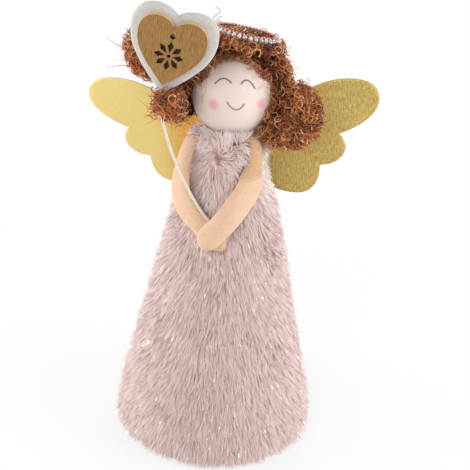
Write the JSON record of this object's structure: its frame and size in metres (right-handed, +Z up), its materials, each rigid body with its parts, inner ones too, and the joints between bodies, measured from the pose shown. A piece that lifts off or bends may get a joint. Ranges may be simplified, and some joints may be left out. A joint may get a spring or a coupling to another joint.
{
  "type": "angel tree topper",
  "caption": "Plush angel tree topper: fur dress over a hollow card cone, ball head with curly hair and bead band, folding foil wings, and crossed arms holding a heart wand.",
  "frame": {"origin": "middle of the hem circle, on the surface that the topper stands on", "axes": "+Z up along the cone, -Y the way the doll faces, +X towards the doll's own left hand"},
  "size_m": [0.1614, 0.1146, 0.2459],
  "materials": {
    "card": "plain grey-brown card",
    "wadding": "loose polyester wadding",
    "lining": "knitted backing of the fur cloth",
    "fur": "dusty pink long-pile fur with a few metallic fibres",
    "dowel": "raw dowel",
    "foam": "pressed bead foam",
    "jersey": "smooth pale jersey with stitched features",
    "thread": "spun thread",
    "yarn": "curly chestnut boucle yarn",
    "beads": "pearly silver beads",
    "peach_felt": "soft peach felt",
    "white_felt": "white felt",
    "gold_foil": "felt faced with brushed gold foil",
    "coated_wire": "off-white paper-covered wire",
    "birch": "gold-stained plywood with burnt cut-outs"
  },
  "bodies": {
    "doll": {"cone_core": "card", "bodice_wadding": "wadding", "hem_facing": "lining", "fur_dress": "fur", "neck_peg": "dowel", "head_core": "foam", "head_cover": "jersey", "neck_tie": "thread", "hair_cap": "yarn", "hair_bunch_left": "yarn", "hair_bunch_right": "yarn", "hair_curl_right": "yarn", "headband": "beads", "left_arm": "peach_felt", "right_arm": "peach_felt", "wing_patch": "white_felt"},
    "left_wing": {"left_wing": "gold_foil"},
    "right_wing": {"right_wing": "gold_foil"},
    "wand": {"wand_stem": "coated_wire", "felt_heart": "white_felt", "wood_heart": "birch"}
  },
  "joints": [
    {"name": "left_wing_fold", "type": "hinge", "parent": "doll", "child": "left_wing", "pos_m": [0.005, 0.02274, 0.163], "axis": [-0.0591, 0.1363, 0.9889], "range_deg": [0, 60], "stiffness_Nm_per_rad": 0.02},
    {"name": "right_wing_fold", "type": "hinge", "parent": "doll", "child": "right_wing", "pos_m": [-0.005, 0.02261, 0.163], "axis": [0.1574, 0.1813, -0.9707], "range_deg": [0, 60], "stiffness_Nm_per_rad": 0.02},
    {"name": "wand_sway", "type": "hinge", "parent": "doll", "child": "wand", "pos_m": [-0.003, -0.03339, 0.1335], "axis": [0, -1, 0], "range_deg": [-10, 12]}
  ]
}
